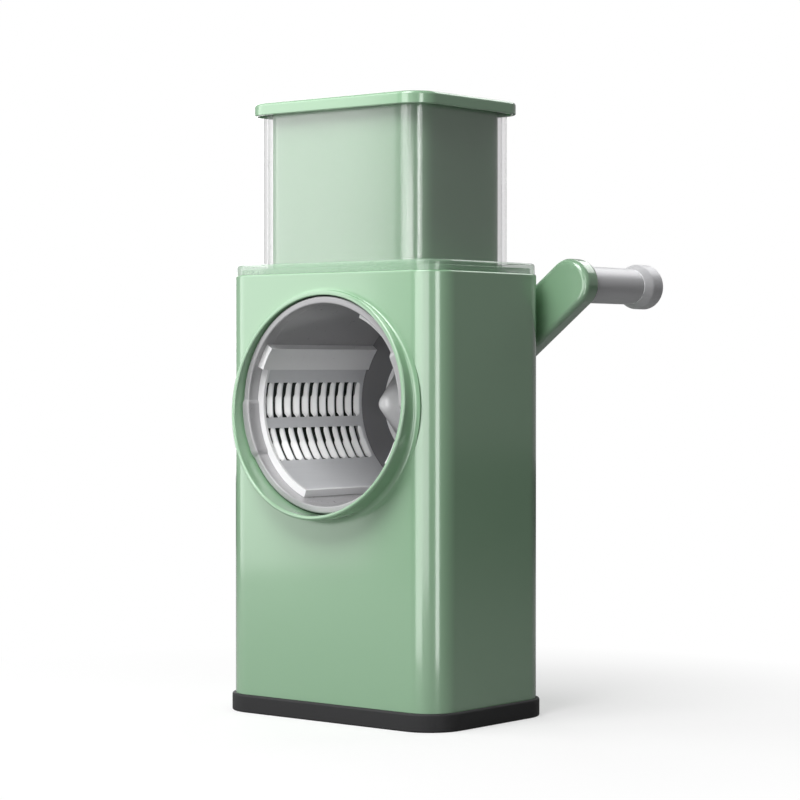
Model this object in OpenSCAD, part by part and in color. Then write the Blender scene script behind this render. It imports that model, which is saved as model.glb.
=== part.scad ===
// Rotary cabbage shredder, worked by hand.
// A tall upright body holds a slotted drum, and a crank at the back turns it.
// Food goes down a clear hopper under a pusher, and shreds leave by the slanted front mouth.
// The front faces -Y, the crank is at +Y, and the origin is the middle of the underside.

/* [Body] */
// Width of the body shell
body_w = 130.4; // [110:0.2:150]
// Depth of the body shell, front to back
body_d = 85.4; // [72:0.2:100]
// Height of the top deck above the table
deck_z = 208; // [204:0.5:240]
// Corner radius of the body in plan
body_r = 14.5; // [10:0.5:18]
// Wall of the body shell
shell_wall = 2.6; // [2:0.1:3]
// Room between the drum and the body's sides
drum_side = 14.9; // [14.8:0.1:17.2]
// Room between the drum and the top of the deck
drum_room = 10.9; // [10.3:0.1:30]

/* [Base] */
// Height of the black band round the foot
base_h = 8.5; // [7:0.5:14]
// How far the band stands proud of the shell
base_lip = 2.3; // [1.6:0.1:4]
// Corner radius of the band in plan
base_r = 18.3; // [16.8:0.1:20]
// Rubber left under the shell
pad_floor = 3; // [2:0.1:4]
// Thickness of the plate that closes the body from below
plate_t = 2.6; // [2:0.1:4]

/* [Outlet] */
// How far the middle of the mouth stands out of the front face
mouth_reach = 7.3; // [6.6:0.1:16]
// Lean of the mouth, in degrees, with the lower lip further out
mouth_slant = 5.4; // [0:0.1:5.6]
// Wall of the collar
collar_wall = 2.2; // [1.8:0.1:3]
// Radius of the fillet where the collar leaves the face
collar_fillet = 3.4; // [1:0.1:3.6]

/* [Hopper] */
// How far the clear hopper stays back from the body's sides
hopper_side = 15; // [12.2:0.1:19.2]
// How far the clear hopper stays back from the body's front and back
hopper_front = 6.1; // [5.4:0.1:9.7]
// Outer corner radius of the hopper
hopper_r = 10; // [7:0.5:13]
// Wall of the hopper
hopper_wall = 2.2; // [1.8:0.1:2.8]
// Height of the hopper above its flange
hopper_h = 74.2; // [50:0.2:100]
// Height of the flange that stands on the deck
flange_h = 5; // [4:0.1:8]
// How far the flange stays back from the body's sides
flange_inset = 0.7; // [0.3:0.1:1.5]
// Depth of the spigot that drops into the deck
spigot_h = 5; // [3:0.1:6]

/* [Pusher] */
// Free gap round the pusher in the hopper
pusher_gap = 2; // [0.8:0.1:2.6]
// Wall of the hollow pusher
pusher_wall = 2; // [1.5:0.1:3]
// How far the lid reaches past the hopper's sides
cap_side = 3.8; // [2.8:0.1:5.8]
// How far the lid reaches past the hopper's front and back
cap_front = 3.9; // [3.4:0.1:6.4]
// Corner radius of the lid
cap_r = 13; // [9:0.5:14]
// Height of the lid's edge
cap_h = 5.8; // [5:0.1:9]
// Thickness of the lid's top
cap_skin = 2; // [1.5:0.1:3]
// Thickness of the lid's edge
cap_wall = 1.8; // [1.2:0.1:2]
// Depth of the rim that the lid pushes into the pusher
cap_plug_h = 4; // [2.5:0.1:6]

/* [Drum] */
// How far the ring stands out of the body's front face
drum_proud = 1.8; // [1:0.1:3]
// Radial thickness of the front ring
ring_wall = 3.3; // [2.6:0.1:3.6]
// Depth of the front ring, front to back
ring_len = 6.5; // [5:0.1:9]
// Step from the ring down to the barrel
barrel_step = 1; // [0.6:0.1:1.2]
// Thickness of the drum's back
drum_back_t = 2; // [1.5:0.1:3]
// How far the cone in the drum's back reaches forward
cone_h = 40; // [34:0.5:46]
// Slope of the cone's side, in degrees from its axis
cone_slope = 33; // [31:0.5:35]
// Radius of the cone's round nose
nose_r = 5; // [4:0.1:7]
// Wall of the cone
cone_wall = 2.2; // [1.8:0.1:3]
// How far the finger lugs stand forward of the ring
lug_h = 1.2; // [0.6:0.1:1.4]
// How far the finger lugs stand in from the ring
lug_in = 1; // [0.5:0.1:2]
// Width of a finger lug, along the ring
lug_w = 29; // [20:0.5:34]

/* [Blades] */
// Number of slots in each row
slot_count = 11; // [6:1:13]
// Share of the pitch that a slot leaves open
slot_share = 0.45; // [0.3:0.01:0.55]
// Thickness of the steel sheet
sheet_t = 0.6; // [0.4:0.1:0.8]
// How far the sheet lies outside the frame's inner face
sheet_recess = 1.3; // [0.8:0.1:1.6]
// Lift of the gentle half of a tooth
tooth_low = 1.2; // [0.8:0.1:1.6]
// Lift of the cutting half of a tooth
tooth_high = 2.5; // [1.8:0.1:2.6]
// Radial thickness of the blade frame
frame_t = 3.6; // [3.2:0.1:4]
// Width of the frame's front and back rails
frame_rail = 1.6; // [1.3:0.1:3]
// How deep the sheet's edges sit in the frame
sheet_grip = 0.9; // [0.5:0.1:1.1]

/* [Crank] */
// Distance from the crank's axis to the grip's axis
crank_reach = 92.1; // [70:0.1:110]
// Angle of the arm above the horizontal at rest, in degrees
crank_angle = 38.1; // [0:0.1:90]
// Width of the crank arm
arm_w = 24; // [20:0.2:30]
// Thickness of the crank arm
arm_t = 12.3; // [10:0.1:16]
// Edge radius of the crank arm
arm_edge_r = 4; // [2:0.1:4.6]
// Gap between the body's back and the arm
arm_gap = 4; // [3.4:0.1:8]
// Diameter of the drive shaft
shaft_d = 10; // [9:0.1:12]
// Side of the shaft's square ends
square_s = 7; // [6:0.1:7.4]

/* [Grip] */
// Diameter of the turning grip
grip_d = 17.5; // [15:0.1:22]
// Length of the grip with its end cap
grip_len = 55.3; // [40:0.1:80]
// Diameter of the grip's end cap
grip_cap_d = 21.9; // [19:0.1:28]
// Length of the end cap
grip_cap_len = 14.7; // [12:0.1:20]
// Diameter of the pin that the grip turns on
pin_d = 6; // [5:0.1:8]

/* [Hidden] */
$fn = 96;

// Fits and small allowances
cut = 1;
snug = 0.05;
seat = 0.2;
clear = 0.3;
drum_run = 0.6;

// Body shell
front_y = -body_d / 2;
back_y = body_d / 2;
front_in_y = front_y + shell_wall;
back_in_y = back_y - shell_wall;
cavity_w = body_w - 2 * shell_wall;
cavity_d = body_d - 2 * shell_wall;
cavity_r = body_r - shell_wall;
deck_under_z = deck_z - shell_wall;
drum_r = body_w / 2 - drum_side;
axis_z = deck_z - drum_room - drum_r;
hopper_w = body_w - 2 * hopper_side;
hopper_d = body_d - 2 * hopper_front;
hole_w = hopper_w + 2 * clear;
hole_d = hopper_d + 2 * clear;
hole_r = hopper_r + clear;

// Base and its screws
base_w = body_w + 2 * base_lip;
base_d = body_d + 2 * base_lip;
plate_top_z = pad_floor + plate_t;
boss_d = 9;
boss_h = 16;
boss_in = cavity_r - (cavity_r - boss_d / 2) * sqrt(0.5);
boss_x = cavity_w / 2 - boss_in;
boss_y = cavity_d / 2 - boss_in;
screw_d = 3;
screw_head_d = 5.6;
screw_head_h = 1.4;
base_screw_len = 12;
plate_rib_t = 1.6;
plate_rib_h = 5;
tread_w = 2;
tread_depth = 0.9;
tread_step = 6;
tread_count = 2;

// Drum chamber and the collar in front of it
chamber_r = drum_r + drum_run;
chamber_wall = 2.2;
chamber_out_r = chamber_r + chamber_wall;
chamber_back_t = 2;
chamber_back_y = back_in_y - chamber_back_t;
throat_top_z = deck_z - spigot_h - clear;
throat_w = hopper_w - 2 * hopper_wall;
throat_d = hopper_d - 2 * hopper_wall;
throat_r = hopper_r - hopper_wall;
ear_d = 8;
ear_t = 4;
ear_a = 16;
ear_sink = 0.8;
ear_r = chamber_out_r + ear_d / 2 - ear_sink;
ear_back_y = back_in_y - shell_wall;
ear_screw_len = 7;
collar_r = chamber_r + collar_wall;
mouth_y = front_y - mouth_reach;
mouth_big = 3 * collar_r;
collar_hole_r = collar_r + snug;

// Shaft bush, washer and the rear fittings
bush_wall = 3;
bush_flange_over = 4;
bush_flange_t = 1.5;
bush_d = shaft_d + 2 * bush_wall;
bush_flange_d = bush_d + 2 * bush_flange_over;
bush_flange_y = back_y + bush_flange_t;
washer_t = 1;
washer_y = bush_flange_y + clear / 2;
arm_front_y = back_y + arm_gap;
arm_back_y = arm_front_y + arm_t;
arm_boss_wall = 5;
arm_boss_d = shaft_d + 2 * arm_boss_wall;
arm_boss_y = washer_y + washer_t + snug;
clip_t = 1;
clip_wide = 2.5;
clip_groove = 0.8;
clip_mouth_share = 0.7;
clip_y = chamber_back_y - clear - clip_t;
clip_d = shaft_d + 2 * clip_wide;
clip_groove_d = shaft_d - 2 * clip_groove;
clip_mouth = shaft_d * clip_mouth_share;
shaft_square_share = 0.12;
shaft_end_share = 0.58;
shaft_square_y = arm_front_y + arm_t * shaft_square_share;
shaft_end_y = arm_front_y + arm_t * shaft_end_share;
crank_screw_d = 3.5;
crank_screw_len = 9;
crank_head_d = 8;
crank_head_h = 2.2;
plug_d = 12;
plug_t = 1.6;
plug_y = arm_back_y - plug_t;

// Hopper
flange_w = body_w - 2 * flange_inset;
flange_d = body_d - 2 * flange_inset;
flange_r = body_r - flange_inset;
flange_top_z = deck_z + flange_h;
hopper_top_z = flange_top_z + hopper_h;
spigot_z = deck_z - spigot_h;

// Pusher
cap_w = hopper_w + 2 * cap_side;
cap_d = hopper_d + 2 * cap_front;
cap_under_z = hopper_top_z + seat;
cap_top_z = cap_under_z + cap_skin;
cap_low_z = cap_top_z - cap_h;
pusher_w = throat_w - 2 * pusher_gap;
pusher_d = throat_d - 2 * pusher_gap;
pusher_r = throat_r - pusher_gap;
pusher_foot_gap = 0.9;
pusher_foot_share = 0.49;
arch_r = drum_r + pusher_foot_gap;
pusher_low_z = axis_z + drum_r * pusher_foot_share;
plug_wall = 1.6;

// Drum
ring_front_y = front_y - drum_proud;
ring_back_y = ring_front_y + ring_len;
ring_in_r = drum_r - ring_wall;
barrel_r = drum_r - barrel_step;
barrel_in_r = ring_in_r;
drum_back_y = chamber_back_y - clear;
disc_y = drum_back_y - drum_back_t;
nose_flat_share = 0.98;
nose_y = disc_y - cone_h + nose_r * nose_flat_share;
lug_mid_a = -14;
socket_d = 12;
socket_wall = 2;
socket_depth = 19.8;
socket_y = disc_y - socket_depth;
socket_back_y = clip_y - clip_t - clear;

// Blade frames and plates: angles in degrees from the horizontal, upwards positive
window_top_a = 22;
window_low_a = -53;
frame_bar_a = 15;
row_edges = [[13, 4, -5], [-14, -24.5, -35]];
frame_out_r = barrel_in_r - snug;
frame_in_r = barrel_in_r - frame_t;
frame_front_y = ring_back_y + snug;
frame_back_y = disc_y - snug;
sheet_r = frame_in_r + sheet_recess;
sheet_front_y = frame_front_y + frame_rail - sheet_grip;
sheet_back_y = frame_back_y - frame_rail + sheet_grip;
slot_front_y = frame_front_y + frame_rail;
slot_back_y = frame_back_y - frame_rail;
slot_pitch = (slot_back_y - slot_front_y) / slot_count;
slot_w = slot_pitch * slot_share;
tooth_lean_share = 0.6;
tooth_root_share = 0.2;
tooth_gap_a = 0.8;
tooth_end_a = 0.4;
grip_a = sheet_grip / sheet_r * 180 / PI;

// Grip
grip_y = arm_back_y + clear;
grip_end_y = grip_y + grip_len;
grip_cap_y = grip_end_y - grip_cap_len;
grip_bore_r = pin_d / 2 + snug;
grip_edge_r = 1.2;
cap_flare_share = 0.34;
cap_edge_share = 0.16;
spigot_share = 0.26;
cap_floor_share = 0.22;
cap_flare = grip_cap_len * cap_flare_share;
cap_edge_r = grip_cap_len * cap_edge_share;
spigot_len = grip_cap_len * spigot_share;
cap_hollow_y = grip_end_y - grip_cap_len * cap_floor_share;
spigot_wall = 1.4;
spigot_r = grip_d / 2 - spigot_wall;
cap_hollow_r = spigot_r - spigot_wall;
pin_head_over = 2;
pin_head_r = pin_d / 2 + pin_head_over;
pin_head_t = 2.4;
pin_head_y = grip_cap_y + spigot_len + clear;
pin_thread = 0.5;
pin_thread_d = pin_d - 2 * pin_thread;
pin_root_share = 0.7;
pin_root_y = arm_back_y - arm_t * pin_root_share;

mint = "#9fd3a8";
black_rubber = "#2b2c2e";
pale_grey = "#cfd0d2";
steel = "#b9bcc0";
brass = "#c9ad6a";
clear_plastic = [0.85, 0.92, 0.92, 0.35];
grip_grey = "#a5a7aa";

// Rounded rectangle in plan
module plan(w, d, r) {
  square([w, d - 2 * r], center = true);
  square([w - 2 * r, d], center = true);
  for (sx = [-1, 1], sy = [-1, 1])
    translate([sx * (w / 2 - r), sy * (d / 2 - r)])
      circle(r = r);
}

// Upright block with that plan, between two heights
module block(w, d, r, z0, z1) {
  translate([0, 0, z0])
    linear_extrude(z1 - z0)
      plan(w, d, r);
}

// Places its children on the drum's axis
module on_axis() {
  translate([0, 0, axis_z])
    children();
}

// Turned part about a line along Y: the profile gives radius and Y
module turned() {
  rotate([-90, 0, 0])
    rotate_extrude()
      children();
}

// Part of a turned form, between two angles up from the left horizontal
module swept(a0, a1) {
  rotate([-90, 0, 0])
    rotate([0, 0, 180 + a0])
      rotate_extrude(angle = a1 - a0)
        children();
}

// Round bar along Y between two places
module bar(r, y0, y1) {
  translate([0, y0, 0])
    rotate([-90, 0, 0])
      cylinder(r = r, h = y1 - y0);
}

// Square bar along Y between two places
module square_bar(s, y0, y1) {
  translate([-s / 2, y0, -s / 2])
    cube([s, y1 - y0, s]);
}

// Radius and Y of a rectangle in a turned profile
module band(r0, r1, y0, y1) {
  translate([r0, y0])
    square([r1 - r0, y1 - y0]);
}

// Places its children at the four screw bosses of the foot
module at_bosses() {
  for (sx = [-1, 1], sy = [-1, 1])
    translate([sx * boss_x, sy * boss_y, 0])
      children();
}

// Places its children at the four ears that hold the chamber
module at_ears() {
  for (a = [ear_a, 180 - ear_a, 180 + ear_a, -ear_a])
    translate([ear_r * cos(a), 0, axis_z + ear_r * sin(a)])
      children();
}

module body_shell() {
  color(mint)
    difference() {
      union() {
        difference() {
          block(body_w, body_d, body_r, pad_floor, deck_z);
          block(cavity_w, cavity_d, cavity_r, pad_floor - cut, deck_under_z);
        }
        intersection() {
          union() {
            at_bosses()
              translate([0, 0, plate_top_z])
                cylinder(d = boss_d, h = boss_h);
            difference() {
              at_ears()
                bar(ear_d / 2, ear_back_y, back_y);
              on_axis()
                bar(chamber_out_r + snug, ear_back_y - cut, back_in_y);
            }
          }
          block(body_w - shell_wall, body_d - shell_wall, body_r - shell_wall / 2, 0, deck_z);
        }
      }
      block(hole_w, hole_d, hole_r, deck_under_z - cut, deck_z + cut);
      on_axis()
        bar(collar_hole_r, front_y - cut, front_in_y + cut);
      on_axis()
        bar(bush_d / 2 + snug, back_in_y - cut, back_y + cut);
      at_bosses()
        translate([0, 0, plate_top_z - cut])
          cylinder(d = screw_d + 2 * snug, h = base_screw_len + cut);
      at_ears()
        bar(screw_d / 2 + snug, ear_back_y - cut, ear_back_y - ear_t + ear_screw_len + snug);
    }
}

module drum_chamber() {
  color(mint)
    difference() {
      union() {
        on_axis()
          bar(chamber_out_r, front_in_y, back_in_y);
        block(hopper_w, hopper_d, hopper_r, axis_z, throat_top_z);
        at_ears()
          bar(ear_d / 2, ear_back_y - ear_t, ear_back_y);
      }
      on_axis()
        bar(chamber_r, front_in_y - cut, chamber_back_y);
      block(throat_w, throat_d, throat_r, axis_z, throat_top_z + cut);
      on_axis()
        bar(bush_d / 2 + snug, chamber_back_y - cut, back_in_y + cut);
      at_ears()
        bar(screw_d / 2 + snug, ear_back_y - ear_t - cut, ear_back_y + cut);
    }
}

module outlet_collar() {
  color(mint)
    on_axis()
      difference() {
        union() {
          turned()
            band(chamber_r, collar_r, mouth_y - mouth_reach, front_in_y);
          turned()
            difference() {
              band(collar_r - snug, collar_r + collar_fillet, front_y - collar_fillet, front_y);
              translate([collar_r + collar_fillet, front_y - collar_fillet])
                circle(r = collar_fillet);
            }
        }
        translate([0, mouth_y, 0])
          rotate([-mouth_slant, 0, 0])
            translate([-mouth_big / 2, -mouth_big, -mouth_big / 2])
              cube(mouth_big);
      }
}

module base_plate() {
  fit_w = cavity_w - 2 * snug;
  fit_d = cavity_d - 2 * snug;
  color(pale_grey)
    difference() {
      union() {
        block(fit_w, fit_d, cavity_r - snug, pad_floor, plate_top_z);
        for (s = [-1, 0, 1])
          translate([s * fit_w / 6 - plate_rib_t / 2, -fit_d / 3, pad_floor])
            cube([plate_rib_t, 2 * fit_d / 3, plate_t + plate_rib_h]);
      }
      at_bosses()
        translate([0, 0, pad_floor - cut])
          cylinder(d = screw_d + 2 * snug, h = plate_t + 2 * cut);
      at_bosses()
        translate([0, 0, pad_floor - cut])
          cylinder(d = screw_head_d + 2 * snug, h = screw_head_h + snug + cut);
    }
}

module base_pad() {
  color(black_rubber)
    difference() {
      block(base_w, base_d, base_r, 0, base_h);
      block(body_w + 2 * snug, body_d + 2 * snug, body_r + snug, pad_floor, base_h + cut);
      for (i = [1 : tread_count])
        difference() {
          block(base_w - 2 * i * tread_step, base_d - 2 * i * tread_step,
            base_r - i * tread_step, -cut, tread_depth);
          block(base_w - 2 * (i * tread_step + tread_w), base_d - 2 * (i * tread_step + tread_w),
            base_r - i * tread_step - tread_w, -2 * cut, tread_depth + cut);
        }
    }
}

module base_screws() {
  color(steel)
    at_bosses()
      translate([0, 0, pad_floor]) {
        cylinder(d = screw_head_d, h = screw_head_h);
        cylinder(d = screw_d, h = base_screw_len);
      }
}

module chamber_screws() {
  color(steel)
    at_ears() {
      bar(screw_d / 2, ear_back_y - ear_t - screw_head_h, ear_back_y - ear_t + ear_screw_len);
      bar(screw_head_d / 2, ear_back_y - ear_t - screw_head_h, ear_back_y - ear_t);
    }
}

module shaft_bush() {
  color(brass)
    on_axis()
      turned() {
        band(shaft_d / 2 + snug, bush_d / 2, chamber_back_y, bush_flange_y);
        band(shaft_d / 2 + snug, bush_flange_d / 2, back_y, bush_flange_y);
      }
}

module hopper() {
  color(clear_plastic)
    difference() {
      union() {
        block(hopper_w, hopper_d, hopper_r, spigot_z, hopper_top_z);
        difference() {
          block(flange_w, flange_d, flange_r, deck_z, flange_top_z);
          block(flange_w - 2 * hopper_wall, flange_d - 2 * hopper_wall, flange_r - hopper_wall,
            deck_z - cut, flange_top_z - hopper_wall);
        }
      }
      block(throat_w, throat_d, throat_r, spigot_z - cut, hopper_top_z + cut);
    }
}

module pusher_cap() {
  rim_w = pusher_w - 2 * pusher_wall - 2 * snug;
  rim_d = pusher_d - 2 * pusher_wall - 2 * snug;
  rim_r = pusher_r - pusher_wall - snug;
  color(mint) {
    difference() {
      block(cap_w, cap_d, cap_r, cap_low_z, cap_top_z);
      block(cap_w - 2 * cap_wall, cap_d - 2 * cap_wall, cap_r - cap_wall,
        cap_low_z - cut, cap_under_z);
    }
    difference() {
      block(rim_w, rim_d, rim_r, cap_under_z - cap_plug_h, cap_under_z + cap_skin / 2);
      translate([0, 0, cap_under_z - cap_plug_h - cut])
        linear_extrude(cap_plug_h + cut)
          square([rim_w - 2 * plug_wall, rim_d - 2 * plug_wall], center = true);
    }
  }
}

module pusher_block() {
  color(mint)
    difference() {
      block(pusher_w, pusher_d, pusher_r, pusher_low_z, cap_under_z);
      on_axis()
        bar(arch_r, -pusher_d / 2 - cut, pusher_d / 2 + cut);
      difference() {
        block(pusher_w - 2 * pusher_wall, pusher_d - 2 * pusher_wall, pusher_r - pusher_wall,
          pusher_low_z + pusher_wall, cap_under_z + cut);
        on_axis()
          bar(arch_r + pusher_wall, -pusher_d / 2 - cut, pusher_d / 2 + cut);
      }
    }
}

module drum_barrel() {
  color(pale_grey)
    on_axis()
      difference() {
        union() {
          turned()
            band(barrel_in_r, barrel_r, ring_back_y, drum_back_y);
          turned()
            difference() {
              union() {
                band(0, barrel_in_r + snug, disc_y, drum_back_y);
                cone_profile(nose_r, disc_y + snug);
                nose_profile();
              }
              difference() {
                cone_profile(nose_r - cone_wall, drum_back_y + cut);
                band(0, barrel_r, socket_y - cone_wall, socket_y);
                band(0, socket_d / 2 + socket_wall, socket_y - cut, socket_back_y);
              }
              band(0, socket_d / 2 + snug, socket_y - cone_wall - cut, drum_back_y + cut);
            }
        }
        for (turn = [0, 180])
          rotate([0, turn, 0])
            swept(window_low_a, window_top_a)
              band(barrel_in_r - cut, barrel_r + cut, slot_front_y, slot_back_y);
      }
}

// Half profile of the cone's side, or of the hollow in it, down to where the nose begins
module cone_profile(r, end_y) {
  start_y = nose_y - r * sin(cone_slope);
  polygon([
    [0, start_y], [r * cos(cone_slope), start_y],
    [r / cos(cone_slope) + (end_y - nose_y) * tan(cone_slope), end_y], [0, end_y]
  ]);
}

// Half profile of the cone's round nose, with a small flat at its tip
module nose_profile() {
  intersection() {
    translate([0, nose_y])
      circle(r = nose_r);
    translate([0, nose_y - nose_r * nose_flat_share])
      square([nose_r, nose_r * nose_flat_share]);
  }
}

module drum_front_ring() {
  lug_a = lug_w / drum_r * 90 / PI;
  color(pale_grey)
    on_axis()
      rotate([0, lug_mid_a, 0])
        difference() {
          turned()
            band(ring_in_r - lug_in, drum_r, ring_front_y - lug_h, ring_back_y);
          for (turn = [0, 180])
            swept(turn + lug_a, turn + 180 - lug_a) {
              band(ring_in_r - lug_in - cut, drum_r + cut, ring_front_y - lug_h - cut,
                ring_front_y);
              band(ring_in_r - lug_in - cut, ring_in_r, ring_front_y - cut, ring_back_y + cut);
            }
        }
}

// Curved frame that holds one blade plate inside the barrel
module blade_frame() {
  difference() {
    swept(window_low_a - frame_bar_a, window_top_a + frame_bar_a)
      band(frame_in_r, frame_out_r, frame_front_y, frame_back_y);
    swept(window_low_a, window_top_a)
      band(frame_in_r - cut, frame_out_r + cut, slot_front_y, slot_back_y);
    swept(window_low_a - grip_a, window_top_a + grip_a)
      band(sheet_r - snug, sheet_r + sheet_t + snug, sheet_front_y - snug, sheet_back_y + snug);
  }
}

// Cuts the slots of one row out of the sheet
module row_slots(row) {
  for (i = [0 : slot_count - 1])
    swept(row[2], row[0])
      translate([0, i * slot_pitch])
        band(sheet_r - cut, sheet_r + sheet_t + cut, slot_front_y, slot_front_y + slot_w);
}

// One raised lip in profile: it leans out of the strip behind a slot and over that slot
module tooth(lift) {
  root = sheet_t * tooth_root_share;
  y = slot_front_y + slot_w;
  polygon([
    [sheet_r + root, y + sheet_t], [sheet_r + root, y - root],
    [sheet_r + lift, y - slot_w * tooth_lean_share],
    [sheet_r + lift + root, y - slot_w * tooth_lean_share + sheet_t],
    [sheet_r + sheet_t - root, y + sheet_t]
  ]);
}

// A row of such lips between two angles
module row_teeth(a0, a1, lift) {
  for (i = [0 : slot_count - 1])
    swept(a0, a1)
      translate([0, i * slot_pitch])
        tooth(lift);
}

// Curved steel sheet with two rows of slots, each with a low and a high cutting lip
module blade_plate() {
  difference() {
    swept(window_low_a - grip_a + snug, window_top_a + grip_a - snug)
      band(sheet_r, sheet_r + sheet_t, sheet_front_y, sheet_back_y);
    for (row = row_edges)
      row_slots(row);
  }
  for (row = row_edges) {
    row_teeth(row[1] + tooth_gap_a, row[0] - tooth_end_a, tooth_low);
    row_teeth(row[2] + tooth_end_a, row[1], tooth_high);
  }
}

module blade_frame_a() {
  color(pale_grey)
    on_axis()
      blade_frame();
}

module blade_frame_b() {
  color(pale_grey)
    on_axis()
      rotate([0, 180, 0])
        blade_frame();
}

module blade_plate_a() {
  color(steel)
    on_axis()
      blade_plate();
}

module blade_plate_b() {
  color(steel)
    on_axis()
      rotate([0, 180, 0])
        blade_plate();
}

module drum_socket() {
  color(steel)
    on_axis()
      difference() {
        bar(socket_d / 2, socket_y - cone_wall + snug, socket_back_y);
        square_bar(square_s + 2 * clear, socket_y, socket_back_y + cut);
      }
}

module drive_shaft() {
  color(steel)
    on_axis()
      difference() {
        union() {
          square_bar(square_s, socket_y + clear, clip_y);
          bar(shaft_d / 2, clip_y - clip_t, shaft_square_y);
          square_bar(square_s, shaft_square_y - clip_t, shaft_end_y);
        }
        turned()
          band(clip_groove_d / 2, shaft_d, clip_y - snug, clip_y + clip_t + snug);
        bar(crank_screw_d / 2 + snug, shaft_end_y - crank_screw_len, shaft_end_y + cut);
      }
}

module shaft_clip() {
  color(steel)
    on_axis()
      difference() {
        turned()
          band(clip_groove_d / 2 + snug, clip_d / 2, clip_y, clip_y + clip_t);
        translate([-clip_mouth / 2, clip_y - cut, -clip_d])
          cube([clip_mouth, clip_t + 2 * cut, clip_d]);
      }
}

module thrust_washer() {
  color(pale_grey)
    on_axis()
      turned()
        band(shaft_d / 2 + snug, arm_boss_d / 2, washer_y, washer_y + washer_t);
}

// Turned end of the arm, with rounded edges
module arm_end() {
  turned_steps = 32;
  rotate([-90, 0, 0])
    rotate_extrude($fn = turned_steps)
      intersection() {
        translate([0, arm_front_y + arm_t / 2])
          plan(arm_w, arm_t, arm_edge_r, $fn = turned_steps);
        translate([0, arm_front_y])
          square([arm_w / 2, arm_t]);
      }
}

module crank_arm() {
  color(mint)
    difference() {
      union() {
        on_axis()
          rotate([0, -crank_angle, 0])
            hull() {
              arm_end();
              translate([crank_reach, 0, 0])
                arm_end();
            }
        on_axis()
          bar(arm_boss_d / 2, arm_boss_y, arm_front_y + arm_edge_r);
      }
      on_axis() {
        bar(shaft_d / 2 + snug, arm_boss_y - cut, shaft_square_y);
        square_bar(square_s + 2 * snug, shaft_square_y - cut, shaft_end_y + snug);
        bar(crank_screw_d / 2 + snug, shaft_end_y - cut, arm_back_y + cut);
        bar(plug_d / 2 + snug, plug_y - crank_head_h - snug, arm_back_y + cut);
      }
      on_grip()
        bar(pin_thread_d / 2 + snug, pin_root_y, arm_back_y + cut);
    }
}

// Places its children on the grip's axis
module on_grip() {
  translate([crank_reach * cos(crank_angle), 0, axis_z + crank_reach * sin(crank_angle)])
    children();
}

module crank_screw() {
  head_y = plug_y - crank_head_h - snug;
  color(steel)
    on_axis() {
      bar(crank_head_d / 2, head_y, plug_y - snug);
      bar(crank_screw_d / 2, shaft_end_y - crank_screw_len + clear, plug_y - snug);
    }
}

module crank_plug() {
  color(mint)
    on_axis()
      bar(plug_d / 2, plug_y, arm_back_y);
}

module grip_pin() {
  color(steel)
    on_grip() {
      bar(pin_thread_d / 2, pin_root_y, arm_back_y);
      bar(pin_d / 2, arm_back_y, pin_head_y + pin_head_t);
      bar(pin_head_r, pin_head_y, pin_head_y + pin_head_t);
    }
}

module grip_sleeve() {
  color(grip_grey)
    on_grip()
      turned() {
        band(grip_bore_r, grip_d / 2, grip_y + grip_edge_r, grip_cap_y);
        band(grip_bore_r, grip_d / 2 - grip_edge_r, grip_y, grip_cap_y);
        translate([grip_d / 2 - grip_edge_r, grip_y + grip_edge_r])
          circle(r = grip_edge_r);
        band(grip_bore_r, spigot_r, grip_cap_y, grip_cap_y + spigot_len);
      }
}

module grip_end_cap() {
  r = grip_cap_d / 2;
  color(grip_grey)
    on_grip()
      turned()
        difference() {
          union() {
            polygon([
              [0, grip_cap_y], [grip_d / 2, grip_cap_y], [r, grip_cap_y + cap_flare],
              [r, grip_end_y - cap_edge_r], [r - cap_edge_r, grip_end_y], [0, grip_end_y]
            ]);
            translate([r - cap_edge_r, grip_end_y - cap_edge_r])
              circle(r = cap_edge_r);
          }
          band(0, spigot_r + snug, grip_cap_y - cut, grip_cap_y + spigot_len + snug);
          band(0, cap_hollow_r, grip_cap_y - cut, cap_hollow_y);
        }
}

body_shell();
drum_chamber();
outlet_collar();
base_plate();
base_pad();
base_screws();
chamber_screws();
shaft_bush();
hopper();
pusher_cap();
pusher_block();
drum_barrel();
drum_front_ring();
blade_frame_a();
blade_frame_b();
blade_plate_a();
blade_plate_b();
drum_socket();
drive_shaft();
shaft_clip();
thrust_washer();
crank_arm();
crank_screw();
crank_plug();
grip_pin();
grip_sleeve();
grip_end_cap();
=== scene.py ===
# %% [markdown]
# # Dressing a rotary shredder
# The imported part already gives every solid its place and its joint. Here the solids that show
# most get a finer surface and a finish. A new surface has the sizes of the solid that it stands
# for, but some corners are rounder, and hopper and pusher a little wider. Sizes are written in
# millimetres and go into the scene in metres.

# %% Load the frame
import math

import bmesh
import bpy
import numpy as np
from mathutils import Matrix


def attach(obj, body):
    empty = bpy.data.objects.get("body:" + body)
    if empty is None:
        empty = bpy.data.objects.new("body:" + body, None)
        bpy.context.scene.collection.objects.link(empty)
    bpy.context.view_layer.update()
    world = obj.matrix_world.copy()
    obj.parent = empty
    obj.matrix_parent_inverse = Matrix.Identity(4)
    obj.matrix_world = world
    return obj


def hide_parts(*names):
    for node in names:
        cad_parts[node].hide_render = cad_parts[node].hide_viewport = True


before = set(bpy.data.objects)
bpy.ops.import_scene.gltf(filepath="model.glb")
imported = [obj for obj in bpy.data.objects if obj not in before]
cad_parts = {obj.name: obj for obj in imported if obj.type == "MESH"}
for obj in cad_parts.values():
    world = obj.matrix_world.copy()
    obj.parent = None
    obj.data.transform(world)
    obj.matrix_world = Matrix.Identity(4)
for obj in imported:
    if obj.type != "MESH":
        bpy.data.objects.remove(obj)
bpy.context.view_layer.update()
MM = 0.001

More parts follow.
